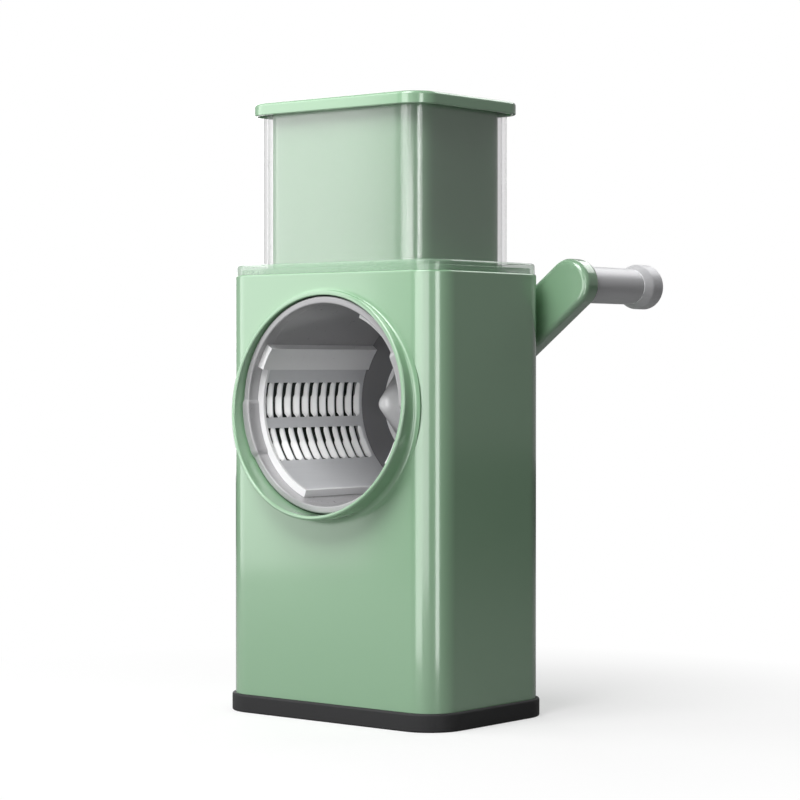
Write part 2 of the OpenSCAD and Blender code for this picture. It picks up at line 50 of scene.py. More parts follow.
# %% [markdown]
# ## The camera
# A picture of a box with straight edges tells where the camera stood. The edges of the base, the
# lid and the body were fitted by least squares, and the answer is a long lens that looks almost
# level. The lens could be set by eye, but then every later comparison would be a guess.

# %% Camera
VIEW_TURN = math.radians(39.53)
VIEW_TILT = math.radians(0.724)
STAND_OFF = 1183.25
SIDE_STEP = 7.335
EYE_HEIGHT = 163.63
FOCAL_PIXELS = 2484.8
PICTURE_PIXELS = 800
SENSOR = 36.0


def put(name, data):
    """Makes an object of a mesh, a lamp or a camera, and puts it into the scene."""
    made = bpy.data.objects.new(name, data)
    bpy.context.scene.collection.objects.link(made)
    return made


camera = put("camera", bpy.data.cameras.new("camera"))
camera.data.sensor_width = SENSOR
camera.data.lens = FOCAL_PIXELS / PICTURE_PIXELS * SENSOR
ahead = np.array([-math.sin(VIEW_TURN), math.cos(VIEW_TURN), 0.0])
to_right = np.array([math.cos(VIEW_TURN), math.sin(VIEW_TURN), 0.0])
eye = to_right * SIDE_STEP - ahead * STAND_OFF + np.array([0.0, 0.0, EYE_HEIGHT])
camera.location = eye * MM
camera.rotation_euler = (math.pi / 2 - VIEW_TILT, 0.0, VIEW_TURN)
bpy.context.scene.camera = camera
print("lens", round(camera.data.lens, 2), "mm, eye at", eye.round(1))

# %% [markdown]
# ## Shader sums
# A finish is easier to read as a formula than as a web of nodes. This small class holds one
# socket, and plus, times, power and a number less it add the Math nodes, so that `1 - mask` is
# the mask turned over. Every other node comes from `node`, which sets the node's own settings
# first and then its sockets. Nodes could also be drawn by hand in the editor, but then nobody
# could read how a finish was made.


# %% A socket that takes part in sums
class Wire:
    """One socket of a material's node tree: `1 - wire * 2` adds the nodes for that sum."""

    def __init__(self, tree, socket=None):
        self.tree, self.socket = tree, socket

    def node(self, kind, sockets=(), out=0, **settings):
        """Adds a node, sets its settings, then the values or wires of its sockets."""
        made = self.tree.nodes.new(kind)
        for key, value in settings.items():
            setattr(made, key, value)
        for key, value in dict(sockets).items():
            if isinstance(value, Wire):
                self.tree.links.new(value.socket, made.inputs[key])
            else:
                made.inputs[key].default_value = value
        return Wire(self.tree, made.outputs[out] if len(made.outputs) else None)

    def sum_of(self, operation, a, b):
        """A Math node on two numbers or wires."""
        return self.node("ShaderNodeMath", {0: a, 1: b}, operation=operation)

    def __add__(self, other):
        return self.sum_of("ADD", self, other)

    def __rsub__(self, other):
        return self.sum_of("SUBTRACT", other, self)

    def __mul__(self, other):
        return self.sum_of("MULTIPLY", self, other)

    def __pow__(self, other):
        return self.sum_of("POWER", self, other)

    __radd__ = __add__


# %% [markdown]
# ## Noise, bumps and blends
# No real surface has one colour and one gloss all over. What changes on it is mostly a noise of
# some grain, so these helpers make one, blend two colours by it or raise bumps with it. A picture
# wrapped round the piece could do the same, but a noise in the piece's own space needs no
# unwrapping, and it stays in place when a joint moves.


# %% Noise, bumps and the finished surface
def colour(red, green, blue):
    """A colour as a screen writes it, 0 to 255, turned into light: ((c + 0.055) / 1.055) ^ 2.4."""
    share = np.array([red, green, blue]) / 255
    light = np.where(share > 0.04045, ((share + 0.055) / 1.055) ** 2.4, share / 12.92)
    return (*light.tolist(), 1.0)


def noise(place, scale, detail=3.0, stretch=(1, 1, 1)):
    """Smooth noise from 0 to 1, `scale` grains to a metre, drawn out along an axis by `stretch`."""
    drawn = place.node("ShaderNodeMapping", {"Vector": place, "Scale": stretch})
    return drawn.node("ShaderNodeTexNoise", {"Vector": drawn, "Scale": scale, "Detail": detail})


def share_between(value, low, high):
    """0 up to `low`, 1 from `high` on, and a straight line between them."""
    return value.node("ShaderNodeMapRange", {0: value, 1: low, 2: high})


def blend(amount, first, second):
    """Colour `first` where amount is 0 and `second` where it is 1.

    A Mix node has sockets for numbers, vectors and colours: 6, 7 and output 2 are its colours.
    """
    return amount.node("ShaderNodeMix", {0: amount, 6: first, 7: second}, out=2, data_type="RGBA")


def bump(height, strength, distance):
    """Normals of a surface that rises and falls by `distance` metres with `height`."""
    return height.node(
        "ShaderNodeBump", {"Height": height, "Strength": strength, "Distance": distance}
    )


FINISH = {}


def blank(owner):
    """Takes all nodes out of a material or a world, and gives a wire to start from."""
    owner.use_nodes = True
    owner.node_tree.nodes.clear()
    return Wire(owner.node_tree)


def surface(name, looks, **constants):
    """A material: `looks(place)` gives the wires that vary, and `constants` the plain sockets."""
    FINISH[name] = bpy.data.materials.new(name)
    start = blank(FINISH[name])
    place = start.node("ShaderNodeTexCoord", out="Object")
    sockets = {key.replace("_", " "): value for key, value in constants.items()}
    sockets.update(looks(place))
    shader = start.node("ShaderNodeBsdfPrincipled", sockets)
    start.node("ShaderNodeOutputMaterial", {0: shader})


print("grey 188 of 255 is", round(colour(188, 188, 188)[0], 3), "of the light")

# %% [markdown]
# ## Finishes
# Moulded plastic is never quite even. The colour drifts a little with the flow of the melt, the
# gloss has the faint pitting called orange peel, and handling leaves hair scratches that show
# only in the gloss. Each mark is a noise at its real size here, because a photographed texture
# would show seams. The body is mint under a clear gloss. The drum's plastic is pale on the ring
# and the cup; a lighter copy of it paints light on frames and cone, and a darker copy paints
# shade on the disc deep inside. The rubber of the foot is rough and shines little, and the
# chamber round the drum is painted nearly black as shade, so that the slots of the blades read
# dark.


# %% Moulded plastics
DRIFT, PEEL, HAIR, GRIT = 9.0, 900.0, 220.0, 4200.0


def moulded(base, shade, gloss, peel=0.12):
    """Looks of moulded plastic: drifting colour, orange peel 1 mm wide, scratches in the gloss."""

    def looks(place):
        drift = noise(place, DRIFT, 2.0)
        grain = noise(place, PEEL, 2.0)
        scratch = noise(place, HAIR, 5.0)
        fine = noise(place, GRIT, 1.0)
        return {
            "Base Color": blend(drift * 0.8 + fine * 0.2, shade, base),
            "Roughness": gloss + (scratch ** 3.0) * 0.06 + grain * 0.03,
            "Normal": bump(grain + fine * 0.3, peel, 0.0001),
        }

    return looks


MINT = colour(150, 189, 154)
MINT_SHADE = colour(147, 186, 151)
surface(
    "mint_plastic", moulded(MINT, MINT_SHADE, 0.20), IOR=1.5, Coat_Weight=1.0, Coat_Roughness=0.10
)
surface(
    "pale_plastic", moulded(colour(166, 165, 167), colour(160, 159, 161), 0.26, 0.06),
    IOR=1.5, Coat_Weight=0.6, Coat_Roughness=0.12,
)
# A lighter copy of the pale plastic: painted light on the frames and the cone.
surface(
    "drum_painted_light", moulded(colour(238, 238, 239), colour(232, 232, 233), 0.26, 0.06),
    IOR=1.5, Coat_Weight=0.6, Coat_Roughness=0.12,
)
# A darker copy of the pale plastic: painted shade on the disc deep in the drum.
surface(
    "drum_painted_shade", moulded(colour(104, 104, 106), colour(98, 98, 100), 0.4, 0.06), IOR=1.45
)
surface("black_rubber", moulded(colour(56, 56, 57), colour(49, 49, 50), 0.5, 0.3), IOR=1.25)
# Painted shade: near black on the mint chamber, standing for the shade inside it.
surface("chamber_painted_shade", moulded(colour(34, 44, 36), colour(30, 39, 32), 0.5), IOR=1.5)
print("moulded finishes:", len(FINISH), "with orange peel", round(1000 / PEEL, 2), "mm wide")

# %% [markdown]
# ## Metals
# The blades are rolled steel with fine lines along the sheet, and each lip was ground. Deep in
# the drum a pure metal would mirror little but the dark chamber, so the sheet is mostly a satin
# grey with a little metal in it. The lips are painted near white with less metal, a painted
# highlight that makes them read bright. The highlight could be a painted map, but no map is
# needed: a lip is what stands further from the drum's axis than the sheet does. The grip isn't
# metal at all but plastic with metal powder in the melt, which gives the same soft shine.


# %% Metals
AXIS = (0.0, 146.8)
SHEET_R = 44.7
LINES, PATCHES = 700.0, 45.0


def drawn_metal(base, shade, gloss, stretch):
    """Looks of worked metal: fine lines along one axis, and dull patches in the shine."""

    def looks(place):
        line = noise(place, LINES, 4.0, stretch)
        patch = noise(place, PATCHES, 3.0)
        return {
            "Base Color": blend(line * 0.6 + patch * 0.4, shade, base),
            "Roughness": gloss + line * 0.12 + patch * 0.08,
            "Normal": bump(line, 0.15, 0.00005),
        }

    return looks


def steel_with_painted_lips(place):
    """Looks of the blade sheet: rolled steel, with a painted highlight where it is pressed out.

    The distance from the drum's axis is sqrt(x² + (z - z0)²), and a lip starts where that is
    over the sheet's own radius. There its colour is painted near white, with less metal.
    """
    looks = drawn_metal(colour(214, 215, 217), colour(198, 199, 202), 0.30, (1, 0.04, 1))(place)
    to_axis = (AXIS[0] * MM, 0.0, AXIS[1] * MM)
    off = place.node("ShaderNodeVectorMath", {0: place, 1: to_axis}, operation="SUBTRACT")
    off = off.node("ShaderNodeVectorMath", {0: off, 1: (1, 0, 1)}, operation="MULTIPLY")
    radius = off.node("ShaderNodeVectorMath", {0: off}, out="Value", operation="LENGTH")
    # Painted highlight: the lips get a near white colour and less metal, so they read bright.
    lip_highlight = share_between(radius, (SHEET_R + 0.05) * MM, (SHEET_R + 0.3) * MM)
    looks["Base Color"] = blend(lip_highlight, looks["Base Color"], colour(250, 250, 250))
    looks["Metallic"] = 0.12 - lip_highlight * 0.08
    return looks


surface("blade_steel", steel_with_painted_lips, IOR=1.8)
surface(
    "silver_plastic", drawn_metal(colour(232, 232, 234), colour(222, 222, 225), 0.32, (1, 1, 1)),
    Metallic=0.20, IOR=1.5,
)
print("rolling lines", round(1000 / LINES, 2), "mm wide, patches", round(1000 / PATCHES), "mm")

# %% [markdown]
# ## Clear plastic
# The hopper is thin clear plastic. A full glass shader would bend light through two walls and
# shade what is inside. Mixing a see-through shader with a mirror, by how steeply the wall is
# seen, keeps the clear look, and the light still reaches the pusher behind it. A milky veil
# stands for the haze of wiped plastic, and on the thick flange the veil is mint, a painted
# reflection of the deck under it.


# %% Clear plastic
FLANGE_TOP = 213.0
DECK_REFLECTION, HAZE = 0.30, 60.0


def clear_surface(name, tint, skin, veil):
    """See-through, with a mirror skin and a faint milky veil.

    Seen squarely the mirror has the share `skin`, and it grows to 1 as the wall turns away: with t
    for 1 less the cosine of the view, skin + (1 - skin) t⁵. Up to the flange's top the wall is
    thick and stands on the mint deck, so there the veil is mint: a painted reflection of the deck.
    """
    FINISH[name] = bpy.data.materials.new(name)
    start = blank(FINISH[name])
    place = start.node("ShaderNodeTexCoord", out="Object")
    haze = noise(place, HAZE, 4.0, (1, 1, 0.3))
    height = place.node("ShaderNodeSeparateXYZ", {0: place}, out="Z")
    deck_reflection_share = 1 - share_between(height, (FLANGE_TOP - 0.3) * MM, (FLANGE_TOP + 0.1) * MM)
    turned_away = start.node("ShaderNodeLayerWeight", {"Blend": 0.5}, out="Facing")
    through = start.node("ShaderNodeBsdfTransparent", {"Color": tint})
    mirror = start.node(
        "ShaderNodeBsdfPrincipled",
        {"Base Color": (1, 1, 1, 1), "Metallic": 1.0, "Roughness": haze * 0.04 + 0.14},
    )
    # Painted reflection: on the flange the veil turns mint, for the deck seen through it.
    haze_and_deck_reflection = blend(deck_reflection_share, colour(232, 238, 234), colour(176, 216, 182))
    haze_and_reflection_shader = start.node("ShaderNodeBsdfPrincipled", {"Base Color": haze_and_deck_reflection, "Roughness": 0.2})
    share = turned_away ** 5.0 * (1 - skin) + skin
    clear = share.node("ShaderNodeMixShader", {0: share, 1: through, 2: mirror})
    amount = deck_reflection_share * DECK_REFLECTION + haze * 0.02 + veil
    veiled = clear.node("ShaderNodeMixShader", {0: amount, 1: clear, 2: haze_and_reflection_shader})
    start.node("ShaderNodeOutputMaterial", {0: veiled})


clear_surface("clear_plastic", (0.945, 0.94, 0.945, 1), 0.04, 0.03)
print("finishes:", ", ".join(FINISH))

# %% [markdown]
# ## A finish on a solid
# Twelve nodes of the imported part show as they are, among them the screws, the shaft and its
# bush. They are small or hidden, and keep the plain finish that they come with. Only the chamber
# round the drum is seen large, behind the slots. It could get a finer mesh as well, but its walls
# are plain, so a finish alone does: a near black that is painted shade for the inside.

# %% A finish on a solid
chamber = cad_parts["drum_chamber"].data.materials
chamber.clear()
# Painted shade: the mint chamber gets near black for the shade inside it.
chamber.append(FINISH["chamber_painted_shade"])
print("chamber:", chamber[0].name)

# %% [markdown]
# ## Surfaces from grids
# Nearly every piece here is a profile carried round something: round a rounded rectangle for the
# body, the hopper and the lid, or round an axis for the drum and the grip. So a few functions are
# enough. One rounds the corners of a profile, two carry it round, and one joins the grid of
# points into faces. Blender's Bevel could round the edges too, but here the arcs are exact.


# %% Rounded profiles
def soften(rows, radii, steps=7, closed=True, metric=None):
    """Rounds the corners of a profile.

    A corner Q of radius R gives way to the arc that touches both its sides. The arc's ends A and
    B lie R tan(turn / 2) from Q, and its points are (s²A + 2stwQ + t²B) / (s² + 2stw + t²), where
    t goes from 0 to 1, s = 1 - t and w = cos(turn / 2). The ends of an open profile stay as they
    are. `metric` has 1 for columns that are lengths and 0 for those that just go along.
    """
    rows = np.asarray(rows, float)
    scale = np.ones(rows.shape[1]) if metric is None else np.asarray(metric, float)
    back, on = np.roll(rows, 1, 0) - rows, np.roll(rows, -1, 0) - rows
    back_len = np.linalg.norm(back * scale, axis=1).clip(1e-9)
    on_len = np.linalg.norm(on * scale, axis=1).clip(1e-9)
    straight = -(back * on * scale**2).sum(1) / (back_len * on_len)
    half_turn = np.arccos(straight.clip(-1, 1)) / 2
    reach = np.broadcast_to(radii, len(rows)) * np.tan(half_turn.clip(0, 1.5))
    reach = np.minimum(reach, 0.499 * np.minimum(back_len, on_len))
    if not closed:
        reach[[0, -1]] = 0
    a = (rows + back * (reach / back_len)[:, None])[:, None]
    b = (rows + on * (reach / on_len)[:, None])[:, None]
    w = np.cos(half_turn)[:, None, None]
    t = np.linspace(0, 1, steps)[None, :, None]
    s = 1 - t
    arc = (s * s * a + 2 * s * t * w * rows[:, None] + t * t * b) / (s * s + 2 * s * t * w + t * t)
    points = arc.reshape(-1, rows.shape[1])
    return points[np.r_[True, np.abs(np.diff(points, axis=0)).max(1) > 1e-6]]


print("a square, rounded:", len(soften([(0, 0), (9, 0), (9, 9), (0, 9)], 2.0)), "points")


# %% Carrying a profile round
def round_plan(rows, per_corner=16, per_side=1):
    """Rings of a rounded rectangle: corner centres (±(w - r), ±(d - r)) plus r (cos a, sin a).

    Each row is half width w, half depth d, corner radius r and height z. Where `per_side` is over
    1, the straight sides are cut into so many equal parts.
    """
    w, d, r, z = (np.asarray(rows, float).T)[:, :, None]
    quarter = np.arange(4).repeat(per_corner)
    a = np.radians(quarter * 90 + np.tile(np.linspace(0, 90, per_corner), 4))
    side = np.sign(np.cos(np.radians(quarter * 90 + 45)))
    fore = np.sign(np.sin(np.radians(quarter * 90 + 45)))
    x = side * (w - r) + r * np.cos(a)
    y = fore * (d - r) + r * np.sin(a)
    rings = np.stack([x, y, z + 0 * x], -1)
    corners = rings.reshape(len(rings), 4, per_corner, 3)
    share = (np.arange(1, per_side) / per_side)[None, None, :, None]
    last, first = corners[:, :, -1:], np.roll(corners, -1, 1)[:, :, :1]
    return np.concatenate([corners, last + (first - last) * share], 2).reshape(len(rings), -1, 3)


def about(centre, r, y, angle):
    """Points about a line along Y: (x0 + r cos a, y, z0 + r sin a)."""
    x = centre[0] + r * np.cos(angle)
    z = centre[1] + r * np.sin(angle)
    return np.stack(np.broadcast_arrays(x, y, z), -1)


def round_axis(rows, centre=AXIS, steps=144):
    """Rings about a line along Y, one for each row of radius and y."""
    r, y = np.asarray(rows, float).T[:, :, None]
    return about(centre, r, y, np.linspace(0, 2 * math.pi, steps, endpoint=False))


print("points round a plan:", round_plan([(60, 40, 14, 0)]).shape[1])


# %% Joining a grid into faces
MERGE, SLIVER = 2e-6, 1e-6


def quads(rows, cols, wrap_rows=False, wrap_cols=True):
    """Faces of a grid: point (i, j) joins to (i, j + 1), (i + 1, j + 1) and (i + 1, j)."""
    i = np.arange(rows if wrap_rows else rows - 1)[:, None]
    j = np.arange(cols if wrap_cols else cols - 1)[None]
    i2, j2 = (i + 1) % rows, (j + 1) % cols
    return np.stack([i * cols + j, i * cols + j2, i2 * cols + j2, i2 * cols + j], -1).reshape(-1, 4)


def mesh_of(name, points, faces):
    """A mesh in metres: doubled points merged, poles closed and faces turned outwards."""
    mesh = bpy.data.meshes.new(name)
    mesh.from_pydata((np.asarray(points).reshape(-1, 3) * MM).tolist(), [], faces)
    work = bmesh.new()
    work.from_mesh(mesh)
    bmesh.ops.remove_doubles(work, verts=work.verts, dist=MERGE)
    bmesh.ops.dissolve_degenerate(work, edges=work.edges, dist=SLIVER)
    bmesh.ops.recalc_face_normals(work, faces=work.faces)
    work.to_mesh(mesh)
    work.free()
    return mesh


def ringed(name, grid, closed):
    """Mesh of rings. A closed profile joins its last ring to its first; an open one is capped."""
    rows, cols = grid.shape[:2]
    faces = quads(rows, cols, wrap_rows=closed).tolist()
    if not closed:
        faces += [list(range(cols)), list(range((rows - 1) * cols, rows * cols))]
    return mesh_of(name, grid, faces)


def cells(name, inner, outer, keep, wrap):
    """Mesh of a plate with holes: the kept cells of two grids, and a wall round each edge."""
    rows, cols = inner.shape[:2]
    count = rows * cols
    all_cells = quads(rows, cols, wrap_cols=wrap).reshape(rows - 1, -1, 4)
    skin = all_cells[keep]
    walls = []
    for axis, step, corners in ((0, -1, (0, 1)), (0, 1, (3, 2)), (1, -1, (0, 3)), (1, 1, (1, 2))):
        near = np.roll(keep, -step, axis)
        if axis == 0 or not wrap:
            edge = [slice(None), slice(None)]
            edge[axis] = 0 if step < 0 else -1
            near[tuple(edge)] = False
        edge_cells = all_cells[keep & ~near]
        a, b = edge_cells[:, corners[0]], edge_cells[:, corners[1]]
        walls.append(np.stack([a, b, b + count, a + count], -1))
    faces = np.concatenate([skin, skin[:, ::-1] + count, *walls])
    points = np.concatenate([inner.reshape(-1, 3), outer.reshape(-1, 3)])
    used, faces = np.unique(faces, return_inverse=True)
    return mesh_of(name, points[used], faces.reshape(-1, 4).tolist())


print("faces on a tube of 3 rings with 4 points each:", len(quads(3, 4)))

# %% [markdown]
# ## Pieces and holes
# Each finer surface moves with a body, shows the finish of a slot and takes the place of a solid,
# which is hidden. One function does all three, so nothing is left behind when a joint moves, and
# shades the piece smooth up to its sharp edges. Round holes that cross a wall could be worked
# into the grid, but a Boolean cuts them cleanly, and it is applied at once to leave plain faces.


# %% Pieces and holes
SHARP = 38.0


def add_piece(name, mesh, body, slot, instead, bevel=0.0, finish=None):
    """Makes the object, shades it smooth up to the sharp edges, and hangs it on its body.

    It shows its slot's finish, or another one where `finish` names it.
    """
    mesh.shade_smooth()
    mesh.set_sharp_from_angle(angle=math.radians(SHARP))
    piece = put(name, mesh)
    mesh.materials.append(FINISH[finish or slot])
    if bevel:
        edge = piece.modifiers.new("soft_edges", "BEVEL")
        edge.width, edge.segments = bevel * MM, 3
        edge.limit_method, edge.angle_limit = "ANGLE", math.radians(SHARP)
    weigh = piece.modifiers.new("flat_faces", "WEIGHTED_NORMAL")
    weigh.keep_sharp = True
    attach(piece, body)
    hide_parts(instead)
    print(f"{name}: {len(mesh.polygons)} faces")


PAST = 3.0


def drill(mesh, radius, y0, y1):
    """Cuts a round hole about the drum's axis, with a Boolean that is applied at once.

    Where a hole goes through, its ends stand `PAST` the wall, so that no skin is left.
    """
    grid = round_axis([(radius, y0), (radius, y1)])
    tool = put("drill", ringed("drill", grid, closed=False))
    block = put("block", mesh)
    cut = block.modifiers.new("cut", "BOOLEAN")
    cut.operation, cut.object, cut.solver = "DIFFERENCE", tool, "EXACT"
    graph = bpy.context.evaluated_depsgraph_get()
    made = bpy.data.meshes.new_from_object(block.evaluated_get(graph))
    for helper in (tool, block):
        bpy.data.objects.remove(helper)
    made.name = mesh.name
    return made


print("edges over", SHARP, "degrees stay sharp")

# %% [markdown]
# ## The body
# The body is one tall moulding with glossy flat sides and rounded corners. Its top edge is only
# just broken, and a round hole in the front takes the collar. A box with a Bevel would come
# close, but corners and top edge need radii of their own. So the walls are swept round the plan
# in one closed profile, inside and out, and the two holes are drilled afterwards. A plan is half
# a width, half a depth and a corner's radius.

# %% Body shell
BODY = (65.2, 42.7, 14.5)
FRONT_Y, BACK_Y = -42.7, 42.7
WALL = 2.6
FOOT_Z, DECK_Z = 3.0, 208.0


def inset(plan, by, z):
    """A row for round_plan: the plan drawn in by `by` on every side, at height z."""
    return (plan[0] - by, plan[1] - by, max(plan[2] - by, 0.4), z)


DECK_HOLE = (50.5, 36.9, 10.3)
body_profile = soften(
    [
        inset(BODY, 0, FOOT_Z),
        inset(BODY, 0, DECK_Z),
        inset(DECK_HOLE, 0, DECK_Z),
        inset(DECK_HOLE, 0, DECK_Z - WALL),
        inset(BODY, WALL, DECK_Z - WALL),
        inset(BODY, WALL, FOOT_Z),
    ],
    (0, 0.9, 0.4, 0.3, 0, 0),
    metric=(1, 0, 0, 1),
)
COLLAR_HOLE, BUSH_HOLE = 53.3, 8.05
body_mesh = ringed("body", round_plan(body_profile, per_corner=20), closed=True)
body_mesh = drill(body_mesh, COLLAR_HOLE, FRONT_Y - PAST, FRONT_Y + WALL + PAST)
body_mesh = drill(body_mesh, BUSH_HOLE, BACK_Y - WALL - PAST, BACK_Y + PAST)
add_piece("body_skin", body_mesh, "housing", "mint_plastic", "body_shell")

# %% [markdown]
# ## The collar
# The mouth is a short tube whose open end is cut on a slant, so the lower lip stands further out
# than the upper. The lip is a thin rounded bead and the root runs into the face on a small fillet,
# and both catch the light as fine bright lines. A slanted Boolean would slice the bead off, so
# the collar is one turned profile whose lip points are sheared along Y in step with their height.

# %% Collar
MOUTH_Y = -50.0
SLANT = math.tan(math.radians(5.4))
COLLAR_IN, COLLAR_OUT, FILLET = 50.9, 53.1, 3.4
PROUD, SUNK = 0.04, 0.3
collar_profile = soften(
    [
        (COLLAR_IN, FRONT_Y + WALL, 0),
        (COLLAR_IN, MOUTH_Y, 1),
        (COLLAR_OUT, MOUTH_Y, 1),
        (COLLAR_OUT, FRONT_Y - PROUD, 0),
        (COLLAR_OUT + FILLET, FRONT_Y - PROUD, 0),
        (COLLAR_OUT + FILLET, FRONT_Y + SUNK, 0),
        (COLLAR_OUT + SUNK, FRONT_Y + SUNK, 0),
        (COLLAR_OUT + SUNK, FRONT_Y + WALL, 0),
    ],
    (0.3, 0.7, 1.3, FILLET * 0.95, 0, 0, 0, 0.3),
    metric=(1, 1, 0),
)
collar_r, collar_y, slant_share = collar_profile.T[:, :, None]
collar_turn = np.linspace(0, 2 * math.pi, 192, endpoint=False)
collar_y = collar_y + slant_share * collar_r * np.sin(collar_turn) * SLANT
collar_grid = about(AXIS, collar_r, collar_y, collar_turn)
collar_mesh = ringed("collar", collar_grid, closed=True)
add_piece("collar_skin", collar_mesh, "housing", "mint_plastic", "outlet_collar")

# %% [markdown]
# ## The foot
# A black band of firm rubber holds the foot of the body. Its upper edge is softly rounded, which
# gives the thin grey line along it, and two shallow treads run round its underside. Each tread
# could be cut with a tool of its own, but in one swept profile it is just four more points.

# %% Foot band
BAND = (67.5, 45.0, 18.3)
BAND_TOP = 8.5
TREAD, TREAD_DEEP, TREAD_EDGE = 2.0, 0.9, (6.0, 12.0)
TOP_IN, UNDER_IN = 2, 16
foot_rows, foot_radii = [inset(BODY, -0.05, FOOT_Z), inset(BODY, -0.05, BAND_TOP)], [0.2, 0.4]
foot_rows += [inset(BAND, 0, BAND_TOP), inset(BAND, 0, 0)]
foot_radii += [1.1, 0.8]
for edge in TREAD_EDGE:
    foot_rows += [inset(BAND, edge, 0), inset(BAND, edge, TREAD_DEEP)]
    foot_rows += [inset(BAND, edge + TREAD, TREAD_DEEP), inset(BAND, edge + TREAD, 0)]
    foot_radii += [0.2, 0, 0, 0.2]
foot_rows = [inset(BODY, TOP_IN, FOOT_Z)] + foot_rows + [inset(BAND, UNDER_IN, 0)]
foot_profile = soften(foot_rows, [0] + foot_radii + [0], closed=False, metric=(1, 0, 0, 1))
foot_mesh = ringed("foot", round_plan(foot_profile, per_corner=20), closed=False)
add_piece("foot_band", foot_mesh, "housing", "black_rubber", "base_pad")

# %% [markdown]
# ## The hopper
# A clear tube with a flange that stands on the deck. Its rim and the foot of the tube are
# rounded, so they draw thin lines of light, and its corners are rounder outside than inside,
# where the pusher slides. A single skin with no thickness would be simpler, but here the walls
# are real: light passes an outer and an inner skin.

# %% Hopper
HOPPER = (50.2, 36.6, 10.0)
TUBE_WALL = 2.2
TUBE = (51.2, 37.6, 13.5)
FLANGE = (64.5, 42.0, 13.8)
TUBE_TOP, SPIGOT = 287.2, 203.0
hopper_profile = soften(
    [
        inset(HOPPER, TUBE_WALL, SPIGOT),
        inset(HOPPER, TUBE_WALL, TUBE_TOP),
        inset(TUBE, 0, TUBE_TOP),
        inset(TUBE, 0, FLANGE_TOP),
        inset(FLANGE, 0, FLANGE_TOP),
        inset(FLANGE, 0, DECK_Z),
        inset(FLANGE, TUBE_WALL, DECK_Z),
        inset(FLANGE, TUBE_WALL, FLANGE_TOP - TUBE_WALL),
        inset(HOPPER, 0, FLANGE_TOP - TUBE_WALL),
        inset(HOPPER, 0, SPIGOT),
    ],
    (0.4, 0.8, 0.8, 1.2, 1.4, 0.3, 0.3, 0.5, 0.5, 0.4),
    metric=(1, 0, 0, 1),
)
hopper_mesh = ringed("hopper", round_plan(hopper_profile, per_corner=18), closed=True)
add_piece("hopper_shell", hopper_mesh, "hopper", "clear_plastic", "hopper")

# %% [markdown]
# ## The lid and the pusher
# The lid is a shallow tray turned over, with a turned-down edge all round. The pusher hangs from
# it: a hollow block with round corners, whose foot is hollowed to the round of the drum, so that
# it presses the last of the cabbage on to the blades. A Boolean with a cylinder could hollow the
# foot, but it leaves long thin faces. Here the foot's rings shrink to the middle, and each point
# takes the higher of the flat foot and the arch.

# %% Lid
LID = (54.0, 40.5, 13.0)
LID_TOP, LID_UNDER, LID_LOW = 289.4, 287.4, 283.6
PLUG = (45.35, 31.75, 8.95)
PLUG_WALL, PLUG_LOW, RIM_WALL, LID_MIDDLE = 1.6, LID_UNDER - 4, 1.8, 12
lid_profile = soften(
    [
        inset(PLUG, PLUG_WALL, LID_UNDER),
        inset(PLUG, PLUG_WALL, PLUG_LOW),
        inset(PLUG, 0, PLUG_LOW),
        inset(PLUG, 0, LID_UNDER),
        inset(LID, RIM_WALL, LID_UNDER),
        inset(LID, RIM_WALL, LID_LOW),
        inset(LID, 0, LID_LOW),
        inset(LID, 0, LID_TOP),
        inset(LID, LID_MIDDLE, LID_TOP),
    ],
    (0, 0.3, 0.3, 0.3, 0.6, 0.5, 0.6, 1.5, 0),
    closed=False,
    metric=(1, 0, 0, 1),
)
lid_mesh = ringed("lid", round_plan(lid_profile, per_corner=18), closed=False)
add_piece("lid_tray", lid_mesh, "pusher", "mint_plastic", "pusher_cap")

# %% Pusher
PUSHER = (47.4, 33.8, 11.0)
PUSH_WALL, PUSH_LOW = 2.0, 171.45
ARCH_R = 51.2
STEPS_IN, PER_CORNER, PER_SIDE = 14, 8, 28


def foot_rings(plan, arch_r, low):
    """Rings that shrink to the middle: z is the higher of the flat foot and the arch's height.

    The arch's height over the drum's axis is sqrt(R² - x²), or nothing where x is beyond R.
    """
    share = np.linspace(1, 0.02, STEPS_IN)[:, None, None]
    grid = round_plan([inset(plan, 0, 0)], PER_CORNER, PER_SIDE) * share
    arch = AXIS[1] + np.sqrt(np.clip(arch_r**2 - grid[..., 0] ** 2, 0, None))
    grid[..., 2] = np.maximum(low, np.where(arch > AXIS[1], arch, 0))
    return grid


outside = foot_rings(PUSHER, ARCH_R, PUSH_LOW)
inner_plan = inset(PUSHER, PUSH_WALL, 0)[:3]
inside = foot_rings(inner_plan, ARCH_R + PUSH_WALL, PUSH_LOW + PUSH_WALL)
upper = [inset(inner_plan, 0, LID_UNDER), inset(PUSHER, 0, LID_UNDER)]
upper = round_plan(upper, PER_CORNER, PER_SIDE)
pusher_grid = np.concatenate([inside[::-1], upper, outside])
pusher_mesh = ringed("pusher", pusher_grid, closed=False)
add_piece("pusher_body", pusher_mesh, "pusher", "mint_plastic", "pusher_block")

# %% [markdown]
# ## The drum's ring
# The drum is a pale plastic cup that lies on its side. A thick ring with two finger lugs shows in
# the mouth, by which the drum is pulled out. The lugs could be blocks joined to the ring, but
# they melt into it in one moulding. So they are a share from 0 to 1 for each angle, which moves
# the ring's front face forward and its inner face in.

# %% Drum ring
RING_IN, RING_OUT = 47.0, 50.3
RING_FRONT, RING_BACK = -44.5, -38.0
LUG_RISE, LUG_IN, LUG_WIDE, LUG_ROUND = 1.2, 1.0, 29.0, 2.8
LUG_MIDDLE = math.radians(180 + 14)


